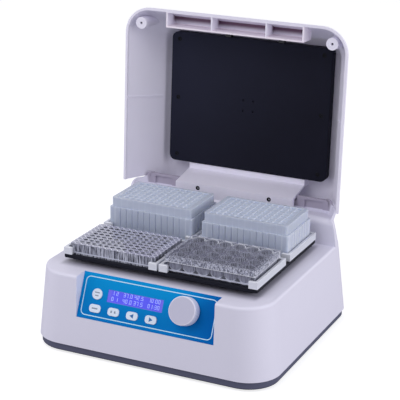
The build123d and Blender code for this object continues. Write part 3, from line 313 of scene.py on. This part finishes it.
panel = {
    "left": -0.0932, "right": 0.0932, "top": 0.0053, "bottom": 0.0557,
    "radius": 0.006, "line": 0.0011, "lift": 0.00008,
    "blueTop": srgb(6, 146, 214), "blueBottom": srgb(2, 118, 194), "blueShadeRight": srgb(0, 98, 178),
    "fadeDown": (0.0, 0.060), "fadeRight": (0.03, 0.10),
}
f = Finish("overlayFilm")
down = panelOrigin.dot(panelUp) - f.place.along(panelUp)
slope = f.blend(down.step(*panel["fadeDown"]), panel["blueTop"], panel["blueBottom"])
# painted shade: the film darkens towards the right, where the knob shades it
slope = f.blend(f.place.along(xAxis).step(*panel["fadeRight"]), slope, panel["blueShadeRight"])
speck = f.noise(3000.0, 2.0)
overlayFilm = f.plastic(slope, speck * 0.08 + 0.42, Normal=f.bump(speck, 0.06),
                        Specular_IOR_Level=0.04)
dress(overlayFilm, "control_overlay")

paleInk = grained("paleInk", 4000.0, 2.0, srgb(190, 232, 250), srgb(214, 242, 252), (0.35, 0.1))
blueInk = grained("blueInk", 4000.0, 2.0, srgb(24, 96, 160), srgb(34, 108, 172), (0.4, 0.1))
greyInk = grained("greyInk", 4000.0, 2.0, srgb(126, 140, 160), srgb(140, 152, 172), (0.4, 0.1))


def panelPrint(name, outlines, lift, thick, material, body):
    # closed outlines in the panel's own x and down, each a slab standing on the face at lift
    verts, faces = [], []
    for outline in outlines:
        base, count = len(verts), len(outline)
        for out in (lift, lift + thick):
            verts += [panelPoint(x, down, out) for x, down in outline]
        faces.append([base + count + i for i in reversed(range(count))])
        faces.append([base + i for i in range(count)])
        for i in range(count):
            j = (i + 1) % count
            faces.append([base + i, base + count + i, base + count + j, base + j])
    newPiece(name, verts, faces, material, body)


def ringPrint(name, outer, inner, thick, material, body):
    verts, faces, count = [], [], len(outer)
    for loop, out in ((outer, 0.0), (outer, thick), (inner, thick), (inner, 0.0)):
        verts += [panelPoint(x, down, out) for x, down in loop]
    for i in range(count):
        j = (i + 1) % count
        for k in range(4):
            a, b = k * count, ((k + 1) % 4) * count
            faces.append([a + i, b + i, b + j, a + j])
    newPiece(name, verts, faces, material, body)


outerLine, innerLine = (
    roundedRect(panel["left"] - half, panel["top"] - half, panel["right"] + half,
                panel["bottom"] + half, panel["radius"] + half)
    for half in (panel["line"] / 2, -panel["line"] / 2))
ringPrint("panelBorder", outerLine, innerLine, panel["lift"], paleInk, "base")

keys = {
    "pitch": 0.027, "first": -0.0735, "down": 0.0455, "top": 0.0014, "ink": 0.00006,
    "menuBar": (0.0085, 0.0018), "runBar": (0.0022, 0.0030), "runHalf": 0.0026,
    "arrowTip": 0.0030, "arrowTail": 0.0022,
    "round": (-0.0738, 0.0266), "roundHalf": 0.0020, "roundBars": [(0.0070, 0.0014), (0.0050, 0.0014)],
}
keyPlastic = grained("keyPlastic", 1800.0, 2.0, srgb(214, 226, 244), srgb(226, 236, 250),
                     (0.35, 0.1), 0.08)
dress(keyPlastic, "round_key", "menu_key", "run_key", "left_key", "right_key")


def bar(x, down, width, height):
    return [(x - width / 2, down - height / 2), (x + width / 2, down - height / 2),
            (x + width / 2, down + height / 2), (x - width / 2, down + height / 2)]


def arrow(x, down, way):  # it points left with way -1 and right with way 1
    tip, tail = keys["arrowTip"], keys["arrowTail"]
    return [(x + way * tip, down), (x - way * tail, down - tip), (x - way * tail, down + tip)]


menuX, runX, leftX, rightX = (keys["first"] + keys["pitch"] * i for i in range(4))
level, (roundX, roundDown) = keys["down"], keys["round"]
marks = {
    "menu": (greyInk, [bar(menuX, level, *keys["menuBar"])]),
    "run": (greyInk, [bar(runX + side * keys["runHalf"], level, *keys["runBar"]) for side in (-1, 1)]),
    "left": (blueInk, [arrow(leftX, level, -1)]),
    "right": (blueInk, [arrow(rightX, level, 1)]),
    "round": (greyInk, [bar(roundX, roundDown + side * keys["roundHalf"], *size)
                        for side, size in zip((-1, 1), keys["roundBars"])]),
}
for key, (ink, outlines) in marks.items():
    panelPrint(key + "Mark", outlines, keys["top"], keys["ink"], ink, key + "_button")
print("keys done")

display = {
    "left": -0.0592, "top": 0.0179, "width": 0.0796, "height": 0.0162,
    "glow": 0.26, "blue": srgb(64, 66, 228), "edgeBlue": srgb(92, 88, 214), "edge": 0.75,
    "digit": 0.0052, "digitWidth": 0.0029, "stroke": 0.00062, "sunk": 0.0006, "thick": 0.00005,
    "inset": 0.0060, "narrow": 0.75, "wide": 1.32,  # narrow and wide are steps, in digit widths
    "rows": [(0.0214, "1 2   37.0 42.5   10:00"), (0.0290, "0 1   40.0 37.5   01:30")],
}
f = Finish("displayWindow")
halfWidth, halfHeight = display["width"] / 2, display["height"] / 2
across = (f.place.along(xAxis) - (display["left"] + halfWidth)) / halfWidth
middle = panelOrigin.dot(panelUp) - display["top"] - halfHeight
upwards = (f.place.along(panelUp) - middle) / halfHeight
vignette = abs(across).largest(abs(upwards)).step(display["edge"], 1.0)
blue = f.blend(vignette, display["blue"], display["edgeBlue"])
displayWindow = f.plastic(blue, f.cells(2600.0) * 0.1 + 0.12, Coat_Weight=0.5, Emission_Color=blue,
                          Emission_Strength=display["glow"])
dress(displayWindow, "lcd_window")

f = Finish("litSegment")
litSegment = f.plastic(f.blend(f.noise(3000.0), srgb(160, 176, 248), srgb(178, 190, 252)), 0.4,
                       Emission_Color=srgb(150, 170, 250), Emission_Strength=0.3)

# which of a digit's seven strokes are lit: a on top, then clockwise to f, with g in the middle
segments = {"0": "abcdef", "1": "bc", "2": "abged", "3": "abgcd", "4": "fgbc",
            "5": "afgcd", "6": "afgedc", "7": "abc", "8": "abcdefg", "9": "abcdfg"}


def digitBars(x, down, char):
    w, h, s = display["digitWidth"], display["digit"], display["stroke"]
    if char == ".":
        return [bar(x + w / 2, down + h / 2 - s / 2, s, s)]
    if char == ":":
        return [bar(x + w / 2, down - h / 5, s, s), bar(x + w / 2, down + h / 5, s, s)]
    places = {"a": (x + w / 2, down - h / 2 + s / 2, w, s), "d": (x + w / 2, down + h / 2 - s / 2, w, s),
              "g": (x + w / 2, down, w, s), "f": (x + s / 2, down - h / 4, s, h / 2),
              "b": (x + w - s / 2, down - h / 4, s, h / 2), "e": (x + s / 2, down + h / 4, s, h / 2),
              "c": (x + w - s / 2, down + h / 4, s, h / 2)}
    return [bar(*places[part]) for part in segments.get(char, "")]


strokes = []
for down, text in display["rows"]:
    x = display["left"] + display["inset"]
    for char in text:
        strokes += digitBars(x, down, char)
        x += display["digitWidth"] * (display["narrow"] if char in ".: " else display["wide"])
panelPrint("displayDigits", strokes, -display["sunk"], display["thick"], litSegment, "base")

knob = {"x": 0.054, "down": 0.0258, "front": 0.0158, "faceEdge": (0.0165, 0.0180),
        "face": srgb(192, 191, 212), "side": srgb(226, 225, 240)}
f = Finish("knobPlastic")
facePoint = tuple(panelPoint(knob["x"], knob["down"], knob["front"]))
offAxis = f.make("ShaderNodeVectorMath", {"operation": "DISTANCE"}, {0: f.place, 1: facePoint}, "Value")
swirl = f.noise(700.0, 2.0)
tint = f.blend(offAxis.step(*knob["faceEdge"]), knob["face"], knob["side"])
knobPlastic = f.plastic(tint, swirl * 0.1 + 0.38, Normal=f.bump(swirl, 0.05))
dress(knobPlastic, "control_knob")
print("control panel done")


# metals and boards

f = Finish("turnedSteel")
rings = f.noise(400.0, 2.0, 0.5, f.stretched(1, 1, 6))
turnedSteel = f.plastic(f.blend(rings, srgb(168, 170, 176), srgb(196, 198, 204)), rings * 0.2 + 0.22,
                        Metallic=1.0, Normal=f.bump(rings, 0.06))
dress(turnedSteel, "encoder_body", "encoder_nut", "encoder_plunger", "encoder_shaft", "drive_motor",
      "crank", "hub_bearing", "hinge_shaft", "panel_screws", "idler_crank_front_left",
      "idler_crank_front_right", "idler_crank_rear_left", "idler_crank_rear_right")

f = Finish("sheetSteel")
sheen = f.noise(60.0, 4.0, 0.6, f.stretched(1, 12, 12))
sheetSteel = f.plastic(f.blend(sheen, srgb(150, 152, 158), srgb(182, 184, 190)), sheen * 0.25 + 0.3,
                       Metallic=1.0, Normal=f.bump(sheen, 0.05))
dress(sheetSteel, "chassis_plate", "drive_bridge")

dress(grained("turnedBrass", 300.0, 2.0, srgb(190, 158, 88), srgb(214, 184, 112), (0.25, 0.2),
              Metallic=1.0), "counterweight", "hinge_bushes", "inlet_pins")

f = Finish("circuitBoard")
tracks = f.make("ShaderNodeTexBrick", {}, {"Vector": f.place, "Scale": 220.0, "Color1": srgb(22, 86, 50),
                "Color2": srgb(26, 96, 56), "Mortar": srgb(60, 128, 80), "Mortar Size": 0.02}, "Color")
circuitBoard = f.plastic(tracks, f.noise(500.0) * 0.2 + 0.35)
dress(circuitBoard, "main_board", "display_board")

dress(grained("darkTrim", 1800.0, 2.0, srgb(30, 30, 36), srgb(42, 42, 50), (0.42, 0.15), 0.15),
      "rear_panel", "inlet_socket", "rocker_frame", "power_rocker", "hinge_dampers", "plate_clips")

rails = {"colour": srgb(214, 217, 227), "bright": srgb(228, 230, 238)}
f = Finish("railAluminium")
brushed = f.noise(120.0, 3.0, 0.6, f.stretched(9, 1, 9))
railAluminium = f.plastic(f.blend(brushed, rails["colour"], rails["bright"]), brushed * 0.12 + 0.40,
                          Metallic=0.25, Normal=f.bump(brushed, 0.05))
dress(railAluminium, "nest_rails_front_left", "nest_rails_front_right", "nest_rails_rear_left",
      "nest_rails_rear_right", "idler_blocks", "power_supply")

f = Finish("blackAnodised")
cloud = f.noise(40.0, 4.0)
speck = f.noise(1600.0, 2.0)
blackAnodised = f.plastic(f.blend(cloud, srgb(20, 21, 29), srgb(29, 30, 41)), cloud * 0.15 + 0.45,
                          Specular_IOR_Level=0.10, Normal=f.bump(speck, 0.12))
dress(blackAnodised, "platform", "platform_carrier")

dress(grained("siliconeMat", 900.0, 2.0, srgb(158, 70, 44), srgb(176, 84, 56), (0.6, 0.2)),
      "heater_mat")
print("metals and boards done")


# microplates: nest gives their middles, the level they stand on and half of their footprint

nest = {"x": 0.06996, "y": 0.05419, "level": 0.1238, "half": (0.06388, 0.04274)}
clear = {
    "violet": srgb(158, 158, 186), "light": srgb(222, 225, 242), "dark": srgb(54, 57, 78),
    "rough": 0.08, "coat": 0.3, "paintedStreak": (0.42, 0.60),
    "wall": 0.16, "tube": 0.0011, "tubeWall": 0.72, "skirt": 0.0025, "ledgeWall": 0.8,
}
smallWells = {"x": -nest["x"], "pitch": 0.009, "radius": 0.00343, "height": 0.01435, "top": 0.72}
broadWells = {"x": nest["x"], "pitch": 0.0193, "radius": 0.00813, "height": 0.02027, "top": 0.34}
scallop = {  # the rounded lower ends of the broad wells, as they show through the front wall
    "radius": 0.0091, "middle": 0.0104, "grey": srgb(176, 178, 198), "wall": (0.78, 0.10), "lipHighlight": 0.8,
    "frontWall": (-0.0950, -0.0930), "low": (0.003, 0.009), "lowWall": 0.66,
}


def wellPlace(f, x, y, pitch):  # a point's place across its own cell of the grid, from the cell's middle
    flat = []
    for axis, middle in ((xAxis, x), (yAxis, y)):
        cell = ((f.place.along(axis) - middle) / pitch + 100.0).fraction()
        flat.append((cell - 0.5) * pitch)
    return flat


def wellDistance(f, x, y, pitch):
    side, depth = wellPlace(f, x, y, pitch)
    return (side * side + depth * depth).root()


def clearFinish(name, wells, scalloped):
    f = Finish(name)
    radius, height = wells["radius"], wells["height"]
    # dark and light streaks painted in as reflections in the clear walls
    paintedStreak = f.noise(1.0, 3.0, 0.6, f.stretched(1400.0, 1400.0, 60.0))
    away = wellDistance(f, wells["x"], -nest["y"], wells["pitch"])
    rise = f.place.along(zAxis) - nest["level"]
    onTop = rise.step(height - 0.0004, height - 0.0001)
    # painted highlights: pale rings round the wells' rims on top, and a pale line along the skirt's ledge
    rim = abs(away - radius).step(0.0003, 0.0010, 1.0, 0.0)
    ledgeHighlight = abs(rise - clear["skirt"]).step(0.0002, 0.0006, 1.0, 0.0)
    tint = f.blend(paintedStreak.step(*clear["paintedStreak"]), clear["dark"], clear["light"])
    if scalloped:
        side = wellPlace(f, wells["x"], -nest["y"], wells["pitch"])[0]
        below = (scallop["middle"] - rise).largest(0.0)
        cup = (side * side + below * below).root()
        solid = cup.step(scallop["radius"] - 0.0005, scallop["radius"], *scallop["wall"])
        # painted highlight: a pale line along the lower edge of each cup
        lipHighlight = abs(cup - scallop["radius"] + 0.0010).step(0.0003, 0.0012, 1.0, 0.0)
        lipHighlight = lipHighlight * below.step(0.003, 0.008)
        within = f.place.along(yAxis).step(*scallop["frontWall"])
        grey = f.blend(paintedStreak, clear["dark"], scallop["grey"])
        tint = f.blend(lipHighlight * scallop["lipHighlight"], f.blend(within, grey, tint), clear["light"])
        solid = solid.largest(within * rise.step(*scallop["low"]) * scallop["lowWall"])
    else:
        tube = away.step(radius + clear["tube"], radius + clear["tube"] + 0.0004, 1.0, 0.0)
        solid = tube.step(0.0, 1.0, clear["wall"], clear["tubeWall"])
    tint = f.blend(onTop, tint, clear["violet"])
    tint = f.blend((rim * onTop).largest(ledgeHighlight), tint, clear["light"])
    solid = solid * (1 - onTop) + onTop * wells["top"] + rim * onTop * 0.25
    return f.plastic(tint, paintedStreak * 0.08 + clear["rough"], Alpha=solid.largest(ledgeHighlight * clear["ledgeWall"]),
                     Coat_Weight=clear["coat"])


dress(clearFinish("clearPolystyrene", smallWells, False), "microplate_96")
dress(clearFinish("clearBroadPlate", broadWells, True), "microplate_24")

cover = {
    "dark": srgb(84, 87, 110), "light": srgb(196, 198, 216), "glint": srgb(246, 248, 255),
    "face": 0.12, "rim": 0.55, "rimBand": 0.0065, "ring": 0.0086, "haze": (0.40, 0.60), "hazeWall": 0.14,
    "rearRow": (-0.0300, -0.0240), "lowEdge": (0.1376, 0.1379), "glintWall": 0.9,
}
f = Finish("clearCover")
haze = f.noise(1.0, 2.0, 0.6, f.stretched(900.0, 420.0, 420.0))
sides = [half - abs(f.place.along(axis) - middle) for half, axis, middle in
         zip(nest["half"], (xAxis, yAxis), (nest["x"], -nest["y"]))]
border = sides[0].smallest(sides[1]).step(cover["rimBand"] * 0.7, cover["rimBand"], 1.0, 0.0)
away = wellDistance(f, broadWells["x"], -nest["y"], broadWells["pitch"])
# painted glints: pale rings over the wells, strongest at the rear row, and a pale line along the cover's
# lower edge
ring = abs(away - cover["ring"]).step(0.0003, 0.0009, 1.0, 0.0)
rearRow = f.place.along(yAxis).step(*cover["rearRow"], 0.25, 1.0)
lowEdge = f.place.along(zAxis).step(*cover["lowEdge"], 1.0, 0.0)
bright = (ring * rearRow).largest(lowEdge)
speckled = haze.step(*cover["haze"])
solid = speckled * cover["hazeWall"] + border.step(0.0, 1.0, cover["face"], cover["rim"])
tint = f.blend(speckled, cover["dark"], f.blend(border, cover["light"], clear["light"]))
coverPlastic = f.plastic(f.blend(bright, tint, cover["glint"]), haze * 0.06 + clear["rough"],
                         Alpha=solid.largest(bright * cover["glintWall"]), Coat_Weight=clear["coat"])
dress(coverPlastic, "microplate_cover")

milky = {
    "colour": srgb(190, 198, 216), "shade": srgb(176, 185, 205), "collar": srgb(192, 199, 214),
    "collarFrom": (0.012, 0.038), "rib": srgb(202, 208, 222), "ribHalf": 0.0013,
    "ribFrom": (0.030, 0.036), "ribTop": 0.35, "height": 0.0448, "wells": (0.0539, 0.0359),
    "within": srgb(118, 124, 138), "glow": 0.36,
}
f = Finish("milkyPolypropylene")
rise = f.place.along(zAxis) - nest["level"]
tint = f.blend(f.noise(30.0, 3.0), milky["colour"], milky["shade"])
tint = f.blend(rise.step(*milky["collarFrom"]), tint, milky["collar"])
ribs, offs = [], []
for axis, middle in ((xAxis, nest["x"]), (yAxis, nest["y"])):
    side = abs(f.place.along(axis)) - middle
    cell = (side / smallWells["pitch"] + 100.5).fraction()
    ribs.append(abs(cell - 0.5) * smallWells["pitch"])
    offs.append(abs(side))
speck = f.noise(1500.0, 2.0)
# pale lines at the grooves between wells: partly the webs seen through the plastic, partly painted light
# lifting the grooves' shade
rib = ribs[0].smallest(ribs[1]).step(milky["ribHalf"] * 0.4, milky["ribHalf"], 1.0, 0.0)
tint = f.blend(rib * rise.step(*milky["ribFrom"], 1.0, milky["ribTop"]), tint, milky["rib"])
# painted light: the insides of the wells glow, lifting their shade
paintedHollow = (offs[0] < milky["wells"][0]) * (offs[1] < milky["wells"][1])
paintedHollow = paintedHollow * (rise < milky["height"] - 0.0002)
milkyPlastic = f.plastic(tint, speck * 0.08 + 0.34, Normal=f.bump(speck, 0.05), Subsurface_Weight=0.7,
                         Subsurface_Radius=(0.006, 0.006, 0.007), Subsurface_Scale=1.0,
                         Emission_Color=f.blend(paintedHollow, (0, 0, 0, 1), milky["within"]),
                         Emission_Strength=milky["glow"])
dress(milkyPlastic, "deep_well_left", "deep_well_right")
print("microplates done")


# lid

lid = {"colour": srgb(236, 233, 247), "deep": srgb(224, 221, 238), "grain": 2400.0, "relief": 0.08}
f = Finish("lidPlastic")
patches = f.noise(8.0, 3.0)
grain = f.noise(lid["grain"], 2.0)
tint = f.blend(patches.step(0.3, 0.7, 0.0, 0.4), lid["colour"], lid["deep"])
lidPlastic = f.plastic(tint, grain * 0.06 + 0.44, Normal=f.bump(grain, lid["relief"]))
dress(lidPlastic, "lid_shell", "hinge_knuckle")

grip = {  # the box at the lid's rim, with painted shade in its pockets and painted light on the sill and the outer faces
    "pocket": srgb(96, 64, 90), "floor": (-0.010, 0.0), "fade": (0.2525, 0.2600),
    "low": 0.2520, "high": 0.2710, "half": 0.1003,
    "paintedLitSill": srgb(248, 238, 248), "sillBand": (-0.0001, 0.0008), "paintedOutsideLight": 0.7,
}
f = Finish("gripPlastic")
grain = f.noise(lid["grain"], 2.0)
away = lidOrigin.dot(lidBack) - f.place.along(lidBack)
rise = f.place.along(lidIn) - lidOrigin.dot(lidIn)
paintedHollow = (abs(f.place.along(xAxis)) < grip["half"]) * (away > grip["low"]) * (away < grip["high"])
# painted shade deep in the pockets; painted light on the sill band and on the box's outer faces
deep = rise.step(*grip["floor"]) * away.step(*grip["fade"])
paintedLitSill = (away > grip["low"] + grip["sillBand"][0]) * (away < grip["low"] + grip["sillBand"][1])
tint = f.blend(paintedLitSill, lid["colour"], grip["paintedLitSill"])
tint = f.blend(paintedHollow * deep, tint, grip["pocket"])
tint = f.blend(grip["paintedOutsideLight"] - paintedHollow * grip["paintedOutsideLight"], tint, grip["paintedLitSill"])
gripPlastic = f.plastic(tint, grain * 0.1 + 0.45, Normal=f.bump(grain, lid["relief"]))
dress(gripPlastic, "handle_box")

heater = {  # a painted sheen, lighter towards the upper left, fades down a slant, between two points given as x and height
    "colour": srgb(19, 19, 30), "paintedSheen": srgb(41, 43, 60), "from": (-0.13, 0.40), "to": (0.10, 0.22),
    "fade": 0.8, "cloud": 0.2, "relief": 0.25,
}
f = Finish("heaterBlack")
cloud = f.noise(14.0, 3.0)
speck = f.noise(1300.0, 3.0)
(startX, startUp), (endX, endUp) = heater["from"], heater["to"]
fade = f.place.along((1, 0, -1)).step(startX - startUp, endX - endUp, 1.0, 0.0)
tint = f.blend(fade * heater["fade"] + cloud * heater["cloud"], heater["colour"], heater["paintedSheen"])
heaterBlack = f.plastic(tint, speck * 0.12 + 0.50, Normal=f.bump(speck, heater["relief"]),
                        Specular_IOR_Level=0.08)
dress(heaterBlack, "lid_heater_plate")

dress(grained("oxideBlack", 900.0, 3.0, srgb(4, 4, 8), srgb(12, 12, 18), (0.35, 0.2), 0.1,
              Specular_IOR_Level=0.15), "lid_screws")

f = Finish("greyFelt")
fibre = f.noise(700.0, 6.0, 0.7)
greyFelt = f.plastic(f.blend(fibre, srgb(150, 146, 140), srgb(184, 180, 172)), 0.9,
                     Normal=f.bump(fibre, 0.8))
dress(greyFelt, "lid_insulation")
print("lid done")


# floor, lights and camera

ground = {"colour": (0.50, 0.50, 0.52, 1), "cloud": (0.54, 0.54, 0.56, 1), "glow": 0.72, "half": 6}
f = Finish("paleFloor")
matte = f.make("ShaderNodeBsdfDiffuse", {},
               {"Color": f.blend(f.noise(3.0, 2.0), ground["colour"], ground["cloud"])})
glow = f.make("ShaderNodeEmission", {}, {"Strength": ground["glow"]})
seenFloor = f.make("ShaderNodeAddShader", {}, {0: matte, 1: glow})
cameraRay = f.make("ShaderNodeLightPath", {}, {}, "Is Camera Ray")
f.surface(f.make("ShaderNodeMixShader", {}, {0: cameraRay, 1: matte, 2: seenFloor}))
corners = [(x * ground["half"], y * ground["half"], 0) for x, y in ((-1, -1), (1, -1), (1, 1), (-1, 1))]
floorMesh = bpy.data.meshes.new("floor")
floorMesh.from_pydata(corners, [], [[0, 1, 2, 3]])
floorMesh.materials.append(f.material)
floor = bpy.data.objects.new("floor", floorMesh)
bpy.context.collection.objects.link(floor)

room = {"colour": (0.93, 0.93, 1.0, 1), "strength": 0.54}  # white only where it is seen, not as light
scene.world = bpy.data.worlds.new("room")
scene.world.use_nodes = True
g = Graph(scene.world.node_tree)
soft = g.make("ShaderNodeBackground", {}, {"Color": room["colour"], "Strength": room["strength"]})
white = g.make("ShaderNodeBackground", {}, {"Color": (1, 1, 1, 1)})
seen = g.make("ShaderNodeLightPath", {}, {}, "Is Camera Ray")
for ray in ("Is Glossy Ray", "Is Transmission Ray"):
    seen = seen.largest(g.make("ShaderNodeLightPath", {}, {}, ray))
either = g.make("ShaderNodeMixShader", {}, {0: seen, 1: soft, 2: white})
g.make("ShaderNodeOutputWorld", {}, {"Surface": either}, None)

lampColour, lampAim = (1.0, 0.99, 1.0), Vector((0, 0.03, 0.15))
lamps = {
    "left": {"at": (-1.15, -0.80, 0.50), "size": 0.8, "power": 3.6},
    "key": {"at": (-0.45, -1.20, 1.55), "size": 1.0, "power": 8.0},
    "right": {"at": (1.9, -0.1, 0.8), "size": 1.4, "power": 18.0},
}
for name, lamp in lamps.items():
    data = bpy.data.lights.new(name + "Softbox", "AREA")
    data.shape = "SQUARE"
    data.size = lamp["size"]
    data.energy = lamp["power"]
    data.color = lampColour
    box = bpy.data.objects.new(name + "Softbox", data)
    box.location = lamp["at"]
    box.rotation_euler = (lampAim - Vector(lamp["at"])).to_track_quat("-Z", "Y").to_euler()
    bpy.context.collection.objects.link(box)

shot = {"target": (-0.07816, 0.19055, 0.119), "azimuth": 25.08, "elevation": 18.88, "roll": 0.79,
        "distance": 2.08585, "focal": 1409.06, "width": 400, "sensor": 36}  # focal and width in pixels
azimuth, elevation, roll = (math.radians(shot[key]) for key in ("azimuth", "elevation", "roll"))
back = Vector((math.sin(azimuth) * math.cos(elevation), -math.cos(azimuth) * math.cos(elevation),
               math.sin(elevation)))
right = Vector((math.cos(azimuth), math.sin(azimuth), 0))
up = back.cross(right)
across = right * math.cos(roll) + up * math.sin(roll)
upward = back.cross(across)
turn = Matrix((across, upward, back)).transposed().to_4x4()
cameraData = bpy.data.cameras.new("camera")
cameraData.sensor_width = shot["sensor"]
cameraData.lens = shot["focal"] / shot["width"] * shot["sensor"]
camera = bpy.data.objects.new("camera", cameraData)
camera.matrix_world = Matrix.Translation(Vector(shot["target"]) + back * shot["distance"]) @ turn
bpy.context.collection.objects.link(camera)
scene.camera = camera
scene.view_settings.view_transform = "Standard"
print("stage done")
